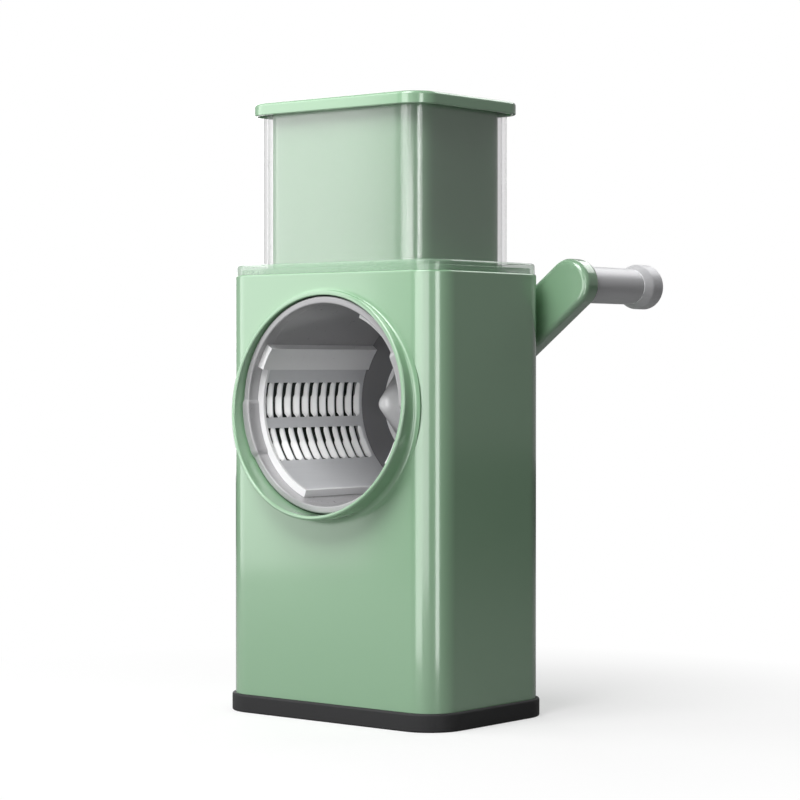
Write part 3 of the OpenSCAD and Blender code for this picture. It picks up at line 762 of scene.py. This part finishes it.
def lug_share(angle):
    """How much of a lug there is at an angle, from 0 beside it to 1 over its middle.

    The distance u in from a lug's side gives 1 - (1 - u / round)², and over the round it is 1.
    """
    off = (angle - LUG_MIDDLE + math.pi / 2) % math.pi - math.pi / 2
    u = (LUG_WIDE / 2 - np.abs(off) * RING_OUT) / LUG_ROUND
    return np.where(u > 0, 1 - (1 - u.clip(0, 1)) ** 2, 0.0)


half_lug = LUG_WIDE / 2 / RING_OUT
# Radians in from a lug's side, closest together where its rise begins.
near_side = np.concatenate([[-0.0008, 0.0004], np.linspace(0.002, LUG_ROUND / RING_OUT, 9)])
sides = np.concatenate([-half_lug + near_side, half_lug - near_side])
lug_angles = np.concatenate([LUG_MIDDLE + sides, LUG_MIDDLE - math.pi + sides])
plain_angles = np.linspace(0, 2 * math.pi, 144, endpoint=False)
ring_angles = np.unique(np.concatenate([plain_angles, lug_angles]) % (2 * math.pi))
ring_profile = soften(
    [
        (RING_OUT, RING_FRONT, 1, 0),
        (RING_OUT, RING_BACK, 0, 0),
        (RING_IN, RING_BACK, 0, 1),
        (RING_IN, RING_FRONT, 1, 1),
    ],
    (0.9, 0.4, 0.2, 0.7),
    metric=(1, 1, 0, 0),
)
ring_r, ring_y, rise_share, in_share = ring_profile.T[:, :, None]
lug = lug_share(ring_angles)
ring_r = ring_r - in_share * LUG_IN * lug
ring_y = ring_y - rise_share * LUG_RISE * lug
ring_grid = about(AXIS, ring_r, ring_y, ring_angles)
ring_mesh = ringed("ring", ring_grid, closed=True)
add_piece("drum_ring", ring_mesh, "drum", "pale_plastic", "drum_front_ring")

# %% [markdown]
# ## The drum's cup
# Behind the ring the drum is a thin tube with two curved windows, and its back is a disc with a
# round-nosed cone over the drive. Booleans could cut the windows, but the tube is a grid of
# angles and depths already, so their cells are just left out. The cone is one turned profile,
# out over the nose and back inside round the socket, and a lighter copy of the drum's plastic
# paints light on it. The disc is made apart from it, because it lies in the shade of the cup,
# and that shade is painted into its darker colour.

# %% Cup, disc and cone
BARREL_IN, BARREL_OUT, BARREL_BACK, DISC_Y = 47.0, 49.3, 37.8, 35.8
WINDOW = (-53.0, 22.0)
SLOT_FRONT, SLOT_BACK = -36.35, 34.15


def left_angle(up):
    """Angle about the axis for so many degrees up from the left horizontal."""
    return np.radians(180.0 - np.asarray(up, float))


def kept_cells(y_lines, up_lines, holes):
    """Which cells stay: those whose middle is in no hole. A hole is two angles and two depths."""
    y_mid, up_mid = (y_lines[1:] + y_lines[:-1]) / 2, (up_lines[1:] + up_lines[:-1]) / 2
    keep = np.ones((len(y_mid), len(up_mid)), bool)
    for up0, up1, y0, y1 in holes:
        off = (up_mid - up0) % 360
        keep &= ~((off < up1 - up0)[None] & ((y_mid > y0) & (y_mid < y1))[:, None])
    return keep


def curved_plate(name, radii, y_lines, up_lines, holes, wrap=False, turn=0, forward=0.0):
    """A plate between two radii on lines of angle and y, turned by `turn` degrees.

    The front edge stands `forward` further out, which may differ from angle to angle.
    """
    y = y_lines[:, None] - (y_lines == y_lines[0])[:, None] * forward
    angle = left_angle(up_lines) + math.radians(turn)
    inner, outer = (about(AXIS, r, y, angle[None]) for r in radii)
    if wrap:
        up_lines = np.append(up_lines, up_lines[0] + 360)
    return cells(name, inner, outer, kept_cells(y_lines, up_lines, holes), wrap)


window_lines = np.array([*WINDOW, WINDOW[0] + 180, WINDOW[1] + 180])
around = np.unique(np.concatenate([np.arange(0, 360, 2.5), window_lines % 360]))
along = np.array([RING_BACK, SLOT_FRONT, SLOT_BACK, BARREL_BACK])
windows = [(up, up + WINDOW[1] - WINDOW[0], SLOT_FRONT, SLOT_BACK) for up in window_lines[::2]]
barrel_mesh = curved_plate("barrel", (BARREL_IN, BARREL_OUT), along, around, windows, wrap=True)
NOSE_R, NOSE_Y, CONE_SLOPE, CONE_WALL = 5.0, 3.4, math.radians(33), 2.2
SOCKET_R, SOCKET_WALL, WEB_Y, SOCKET_BACK = 6.05, 2.0, 13.8, 35.5


def cone_side(y, wall=0.0):
    """Radius of the cone at y: the line at its slope that touches the nose's circle."""
    return (NOSE_R - wall) / math.cos(CONE_SLOPE) + (y - NOSE_Y) * math.tan(CONE_SLOPE)


CONE_STEPS, CONE_HEM, DISC_GAP = 120, 3.0, 0.05
DISC_IN, DISC_OUT = cone_side(DISC_Y) + CONE_HEM, BARREL_IN - DISC_GAP
disc_profile = [
    (DISC_OUT, DISC_Y), (DISC_OUT, BARREL_BACK), (DISC_IN, BARREL_BACK), (DISC_IN, DISC_Y)
]
disc_mesh = ringed("disc", round_axis(disc_profile, AXIS, CONE_STEPS), closed=True)
nose_turn = np.linspace(0, math.pi / 2 - CONE_SLOPE, 12)
nose = np.stack([NOSE_R * np.sin(nose_turn), NOSE_Y - NOSE_R * np.cos(nose_turn)], -1)
hollow_y = NOSE_Y - (NOSE_R - CONE_WALL) * math.sin(CONE_SLOPE)
cone_rows = soften(
    [
        nose[-1],
        (cone_side(DISC_Y), DISC_Y),
        (DISC_IN, DISC_Y),
        (DISC_IN, BARREL_BACK),
        (cone_side(BARREL_BACK, CONE_WALL), BARREL_BACK),
        (cone_side(WEB_Y + CONE_WALL, CONE_WALL), WEB_Y + CONE_WALL),
        (SOCKET_R + SOCKET_WALL, WEB_Y + CONE_WALL),
        (SOCKET_R + SOCKET_WALL, SOCKET_BACK),
        (SOCKET_R, SOCKET_BACK),
        (SOCKET_R, WEB_Y),
        (cone_side(WEB_Y, CONE_WALL), WEB_Y),
        (cone_side(hollow_y, CONE_WALL), hollow_y),
        (0.0, hollow_y),
    ],
    (0, 2.5, 0.2, 0.2, 1.0, 0.3, 0.3, 0.2, 0.2, 0.2, 0.3, 0.3, 0),
    closed=False,
)
cone_profile = np.concatenate([nose[:-1], cone_rows])
cone_mesh = ringed("cone", round_axis(cone_profile, AXIS, CONE_STEPS), closed=False)
add_piece("drum_cup", barrel_mesh, "drum", "pale_plastic", "drum_barrel", bevel=0.25)
# The disc wears painted shade and the cone painted light, both copies of the pale plastic.
add_piece("drum_disc", disc_mesh, "drum", "pale_plastic", "drum_barrel", finish="drum_painted_shade")
add_piece("drum_cone", cone_mesh, "drum", "pale_plastic", "drum_barrel", finish="drum_painted_light")

# %% [markdown]
# ## The blade frames
# Each blade lies in a curved frame that fills a window of the drum: a wide bar over the sheet
# that reaches forward into the ring, a narrow bar below it, and an opening that runs on to the
# back. A bent box could stand for it, but a frame is a part of a tube too, so the same grid of
# angles and depths makes it. The second frame is the first one after half a turn, and a small
# bevel softens both.

# %% Blade frames
FRAME_IN, FRAME_OUT = 43.4, 46.95
FRAME_FRONT, FRAME_BACK, FRAME_BAR, LOW_BAR = -37.95, 35.75, 15.0, 2.0
SHEET_LOW = WINDOW[0] - FRAME_BAR + LOW_BAR
BAR_FORWARD, BAR_STEP = 3.6, 0.1
frame_up = np.concatenate(
    [
        np.linspace(WINDOW[0] - FRAME_BAR, SHEET_LOW, 4),
        np.linspace(SHEET_LOW, WINDOW[1], 37)[1:-1],
        [WINDOW[1], WINDOW[1] + BAR_STEP],
        np.linspace(WINDOW[1], WINDOW[1] + FRAME_BAR, 7)[1:],
    ]
)
frame_y = np.array([FRAME_FRONT, SLOT_FRONT, SLOT_BACK, FRAME_BACK])
frame_hole = [(SHEET_LOW, WINDOW[1], SLOT_FRONT, FRAME_BACK)]
bar_forward = np.where(frame_up > WINDOW[1], BAR_FORWARD, 0.0)[None]
BLADES = (("a", 0), ("b", 180))
for letter, turn in BLADES:
    mesh = curved_plate(
        "blade_frame", (FRAME_IN, FRAME_OUT), frame_y, frame_up, frame_hole,
        turn=turn, forward=bar_forward,
    )
    # The frames wear painted light, a lighter copy of the pale plastic.
    add_piece(
        f"frame_{letter}", mesh, "drum", "pale_plastic", f"blade_frame_{letter}",
        bevel=0.6, finish="drum_painted_light",
    )

# %% [markdown]
# ## The blade plates
# This is the piece that cuts, and the hardest one. A thin steel sheet has two rows of slots, and
# the metal behind each slot is pressed outwards into a lip. Along its length the lip rises in two
# stages, which is the kink seen in every tooth. Booleans could cut the slots, but the lips would
# have to be joined on, and on the real plate they are the sheet itself. So the whole plate is one
# grid: the cells over the slots are left out, and the points behind a slot are lifted. The
# sheet's edges reach a little way under the frame's bars.

# %% Blade plates
SHEET_T, UNDER_BAR, UNDER_FRONT, BACK_GAP = 0.6, 1.1, 0.7, 0.1
SLOTS = 11
PITCH = (SLOT_BACK - SLOT_FRONT) / SLOTS
SLOT_WIDE = PITCH * 0.62
ROWS = ((13.0, 4.5, -8.5), (-14.8, -24.0, -37.0))
LIFT_LOW, LIFT_HIGH, RISE_SHARE, SOFT = 0.8, 1.7, 0.25, 2.0
LIP_STEPS, LIP_CURVE = np.array([0.0, 0.12, 0.3, 0.55, 0.8, 1.0]), 1.2
FINE, COARSE = 17, 5


def ramp(t):
    """Smooth step from 0 to 1: t²(3 - 2t)."""
    t = np.clip(t, 0, 1)
    return t * t * (3 - 2 * t)


def lip_lift(up):
    """Height of the lips at an angle.

    In each row the lip rises to the high lift in a quarter of its lower half, drops to the low
    lift in `SOFT` degrees round the middle, and falls to nothing in as many at the top.
    """
    lift = np.zeros_like(up)
    for top, middle, low in ROWS:
        rise = ramp((up - low) / ((middle - low) * RISE_SHARE))
        step = ramp((up - middle + SOFT / 2) / SOFT)
        fall = 1 - ramp((up - top + SOFT) / SOFT)
        inside = (up > low) & (up < top)
        lift += np.where(inside, rise * (LIFT_HIGH + (LIFT_LOW - LIFT_HIGH) * step) * fall, 0)
    return lift


edges = [SHEET_LOW - UNDER_BAR]
for top, _, low in reversed(ROWS):
    edges += [low, top]
edges.append(WINDOW[1] + UNDER_BAR)
spans = enumerate(zip(edges, edges[1:]))
lines = [np.linspace(a, b, FINE if k % 2 else COARSE) for k, (a, b) in spans]
plate_up = np.unique(np.concatenate(lines).round(6))
starts = SLOT_FRONT + PITCH * np.arange(SLOTS)
lip_y = SLOT_WIDE + (PITCH - SLOT_WIDE) * LIP_STEPS[:-1]
columns = starts[:, None] + np.concatenate([[0.0], lip_y])[None]
sheet_ends = [SLOT_FRONT - UNDER_FRONT], [SLOT_BACK, FRAME_BACK - BACK_GAP]
plate_y = np.concatenate([sheet_ends[0], columns.ravel(), sheet_ends[1]])
lip_share = np.tile(np.concatenate([[0.0], (1 - LIP_STEPS[:-1]) ** LIP_CURVE]), SLOTS)
lip_share = np.concatenate([[0.0], lip_share, [0.0, 0.0]])
lift = lip_share[:, None] * lip_lift(plate_up)[None]
slot_cells = [(low, top, y, y + SLOT_WIDE) for top, _, low in ROWS for y in starts]
keep = kept_cells(plate_y, plate_up, slot_cells)


def plate_grid(radius, turn):
    """Points of the pressed sheet: on the arc, with the radius grown by the lift."""
    angle = left_angle(plate_up)[None] + math.radians(turn)
    return about(AXIS, radius + lift, plate_y[:, None], angle)


for letter, turn in BLADES:
    under, over = plate_grid(SHEET_R, turn), plate_grid(SHEET_R + SHEET_T, turn)
    mesh = cells(f"plate_{letter}", under, over, keep, wrap=False)
    add_piece(f"plate_{letter}", mesh, "drum", "blade_steel", f"blade_plate_{letter}")
print("slots in a plate:", len(slot_cells), "and", round(PITCH, 2), "mm apart")

# %% [markdown]
# ## The crank
# The arm is a long flat moulding with round ends and large soft edges. Its outline is two half
# circles joined by straight sides. Two cylinders and a box would show their seams, so the profile
# of its edge is carried round that outline, drawn in as it turns over to the flat faces. A hole
# in the outer face takes the plug that hides the screw.

# %% Crank arm
ARM_R, ARM_EDGE, ARM_MIDDLE = 11.95, 4.0, 2.0
ARM_FRONT, ARM_BACK = 46.7, 59.0
REACH, RISE = 92.1, math.radians(38.1)


def round_arm(rows, per_end=40):
    """Rings round two ends: centre plus r (cos a, sin a), turned by the arm's rise.

    Each row is radius r and y. The first half circle is about the grip end.
    """
    r, y = np.asarray(rows, float).T[:, :, None]
    a = np.radians(np.concatenate([np.linspace(-90, 90, per_end), np.linspace(90, 270, per_end)]))
    along = np.repeat([REACH, 0.0], per_end) + r * np.cos(a)
    across = r * np.sin(a)
    x = along * math.cos(RISE) - across * math.sin(RISE)
    z = along * math.sin(RISE) + across * math.cos(RISE)
    return np.stack([AXIS[0] + x, y + 0 * x, AXIS[1] + z], -1)


arm_profile = soften(
    [(ARM_MIDDLE, ARM_FRONT), (ARM_R, ARM_FRONT), (ARM_R, ARM_BACK), (ARM_MIDDLE, ARM_BACK)],
    (0, ARM_EDGE * 0.75, ARM_EDGE, 0),
    steps=12,
    closed=False,
)
PLUG_HOLE, PLUG_FLOOR = 6.15, 57.4
arm_mesh = ringed("arm", round_arm(arm_profile), closed=False)
arm_mesh = drill(arm_mesh, PLUG_HOLE, PLUG_FLOOR, ARM_BACK + PAST)
add_piece("arm_skin", arm_mesh, "crank", "mint_plastic", "crank_arm")

# %% [markdown]
# ## The grip
# A silver grey sleeve turns on a pin, and a flared cap closes its end. A Screw modifier could
# turn them, but the same rings as before keep the caps flat and the seams closed. Between the
# two stays the small shadow line that separate mouldings always show.

# %% Grip
GRIP = (REACH * math.cos(RISE), AXIS[1] + REACH * math.sin(RISE))
SLEEVE_R, SLEEVE_FRONT, SLEEVE_BACK = 8.75, 59.3, 99.9
BORE, NECK_R, NECK, SEAM = 3.05, 7.35, 3.8, 0.15
sleeve_profile = soften(
    [
        (BORE, SLEEVE_FRONT),
        (SLEEVE_R, SLEEVE_FRONT),
        (SLEEVE_R, SLEEVE_BACK - SEAM),
        (NECK_R, SLEEVE_BACK - SEAM),
        (NECK_R, SLEEVE_BACK + NECK),
        (BORE, SLEEVE_BACK + NECK),
    ],
    (0.2, 1.2, 0.35, 0, 0.4, 0.2),
)
sleeve_mesh = ringed("sleeve", round_axis(sleeve_profile, GRIP, steps=96), closed=True)
add_piece("grip_tube", sleeve_mesh, "grip", "silver_plastic", "grip_sleeve")
CAP_R, CAP_END, CAP_FLARE, CAP_WALL = 10.90, 114.6, 5.0, 3.2
HOLLOW_R, NECK_SEAT_R, NECK_SEAT = 5.95, 7.4, 3.9
cap_profile = soften(
    [
        (HOLLOW_R, SLEEVE_BACK + NECK_SEAT),
        (NECK_SEAT_R, SLEEVE_BACK + NECK_SEAT),
        (NECK_SEAT_R, SLEEVE_BACK + SEAM),
        (SLEEVE_R, SLEEVE_BACK + SEAM),
        (CAP_R, SLEEVE_BACK + CAP_FLARE),
        (CAP_R, CAP_END),
        (0.0, CAP_END),
        (0.0, CAP_END - CAP_WALL),
        (HOLLOW_R, CAP_END - CAP_WALL),
    ],
    (0, 0.2, 0, 0.5, 4.0, 2.4, 0, 0, 1.0),
    steps=10,
)
cap_mesh = ringed("cap", round_axis(cap_profile, GRIP, steps=96), closed=True)
add_piece("grip_cap", cap_mesh, "grip", "silver_plastic", "grip_end_cap")

# %% [markdown]
# ## The floor
# The floor is pale and matte. Close to the object half of it is lit as usual, so it takes a soft
# shadow, and further out it fades into the plain white of the background. White paper all round
# would do the same, but it also throws light up at the object from below. So the camera sees the
# floor pale, gloss sees it half as bright, and light that bounces off it finds a dim grey.

# %% Floor
FLOOR = 3000.0
SPECKLE, GLOSS_SHARE = 300.0, 0.35
FADE_FROM, FADE_TO, NEAR_GLOW = 0.09, 0.30, 0.5
floor_material = bpy.data.materials.new("floor")
start = blank(floor_material)
where = start.node("ShaderNodeTexCoord", out="Object")
speckle = noise(where, SPECKLE, 3.0)
pale = blend(speckle, colour(246, 246, 246), colour(250, 250, 250))
seen = start.node("ShaderNodeLightPath", out="Is Camera Ray")
glossy = start.node("ShaderNodeLightPath", out="Is Glossy Ray")
shown = blend(glossy * GLOSS_SHARE + seen, colour(112, 112, 112), pale)
matte = start.node("ShaderNodeBsdfDiffuse", {0: shown})
glow = start.node("ShaderNodeEmission", {0: (1, 1, 1, 1), 1: 1.0})
distance = start.node("ShaderNodeVectorMath", {0: where}, out="Value", operation="LENGTH")
far = share_between(distance, FADE_FROM, FADE_TO) * (1 - NEAR_GLOW) + NEAR_GLOW
floor_mix = start.node("ShaderNodeMixShader", {0: far * seen, 1: matte, 2: glow})
start.node("ShaderNodeOutputMaterial", {0: floor_mix})
floor_mesh = bpy.data.meshes.new("floor")
corner = FLOOR * MM
floor_mesh.from_pydata(
    [(-corner, -corner, 0), (corner, -corner, 0), (corner, corner, 0), (-corner, corner, 0)],
    [],
    [(0, 1, 2, 3)],
)
floor_mesh.materials.append(floor_material)
floor = put("floor", floor_mesh)
print("floor: fades from", FADE_FROM, "to", FADE_TO, "m from the middle")

# %% [markdown]
# ## The world
# The background is plain white, and clear plastic shows it too. A white world would be simplest,
# but its light comes from all sides at once and leaves no form. So the world is white for the
# camera and through glass, a quarter white in the gloss, and only a dim grey as light.

# %% World
AMBIENT, GLOSS_WHITE = 0.085, 0.25
bpy.context.scene.world = bpy.data.worlds.new("studio")
start = blank(bpy.context.scene.world)
direct = start.node("ShaderNodeLightPath", out="Is Camera Ray")
by_gloss = start.node("ShaderNodeLightPath", out="Is Glossy Ray")
through_glass = start.node("ShaderNodeLightPath", out="Is Transmission Ray")
white = direct + by_gloss * GLOSS_WHITE + through_glass
strength = white * (1 - AMBIENT) + AMBIENT
backdrop = start.node("ShaderNodeBackground", {0: (1, 1, 1, 1), 1: strength})
start.node("ShaderNodeOutputWorld", {0: backdrop})
print("world: white where it is seen,", AMBIENT, "as light")

# %% [markdown]
# ## Lamps
# Such a thing is lit in a studio by soft boxes. The key hangs over the front, and a long fill on
# the left lights the front face evenly down to the foot. A small box low in front looks into the
# mouth, and a rim and a back lamp keep the far edges clear. Two narrow boxes draw the upright
# bands on the rounded corners. They show only in the gloss, because as plain light they would
# bleach the mint around them.


# %% Lamps
def point(holder, target, turn, distance, height):
    """Stands a lamp `turn` degrees to the right of the front and turns it to the target."""
    x, y, z = target
    side = math.radians(turn)
    holder.location = (x + distance * math.sin(side), y - distance * math.cos(side), height)
    holder.rotation_euler = (math.atan2(distance, height - z), 0.0, side)


def softbox(name, turn, distance, height, size, glow, aim=0.16, matte=True):
    """A rectangular lamp that looks at the height `aim` over the middle of the floor.

    Its power is 4 times its area times its glow, where a glow of 1 is about as bright as white
    paper. A lamp that isn't `matte` shows in the gloss only.
    """
    lamp = bpy.data.lights.new(name, "AREA")
    lamp.shape, lamp.size, lamp.size_y = "RECTANGLE", *size
    lamp.energy = 4 * size[0] * size[1] * glow
    holder = put(name, lamp)
    holder.visible_camera, holder.visible_diffuse = False, matte
    point(holder, (0, 0, aim), turn, distance, height)
    print(f"{name}: {lamp.energy:.2f} W, {'all light' if matte else 'gloss only'}")


# Name, turn, distance and height of the lamp, its width and height, and its glow.
softbox("key", 4, 0.55, 0.85, (0.5, 0.5), 7.2)
softbox("fill", -54, 0.70, 0.46, (0.46, 0.90), 1.9, aim=0.40)
softbox("front", 24, 0.75, 0.16, (0.32, 0.32), 2.6)
softbox("rim", -125, 1.0, 0.45, (0.4, 0.8), 1.6)
softbox("back", 176, 0.75, 0.80, (0.7, 0.4), 2.0)
softbox("band", 7, 0.30, 0.18, (0.12, 0.36), 2.9, matte=False)
softbox("edge", 63, 0.30, 0.18, (0.06, 0.36), 4.2, matte=False)

# %% [markdown]
# ## A narrow lamp
# The ground lips are nearly white, because light falls straight through the mouth on them, and
# their colour is painted near white as a highlight. A stronger key would light them too, but it
# would bleach the ring and the mint round the mouth. So one lamp gets a snoot, a tube that keeps
# its light to the blades.


# %% A narrow lamp for the blades
LAMP_R = 0.02


def snoot(name, target, turn, distance, height, spread, power):
    """A small round lamp whose light stays in a cone of `spread` degrees with a soft rim.

    It doesn't show in the gloss. The target and the lamp's place are in metres.
    """
    lamp = bpy.data.lights.new(name, "SPOT")
    lamp.energy, lamp.shadow_soft_size = power, LAMP_R
    lamp.spot_size, lamp.spot_blend = math.radians(spread), 1.0
    holder = put(name, lamp)
    holder.visible_camera = holder.visible_glossy = False
    point(holder, target, turn, distance, height)
    print(f"{name}: {power} W, {spread} degrees wide")


BLADES_AT = (-0.047, -0.005, 0.134)
snoot("blades", BLADES_AT, 36, 0.77, 0.16, spread=6.0, power=9.0)

# %% [markdown]
# ## Colour view
# Colours show as they are written, with the plain Standard view.

# %% Colour view
bpy.context.scene.view_settings.view_transform = "Standard"
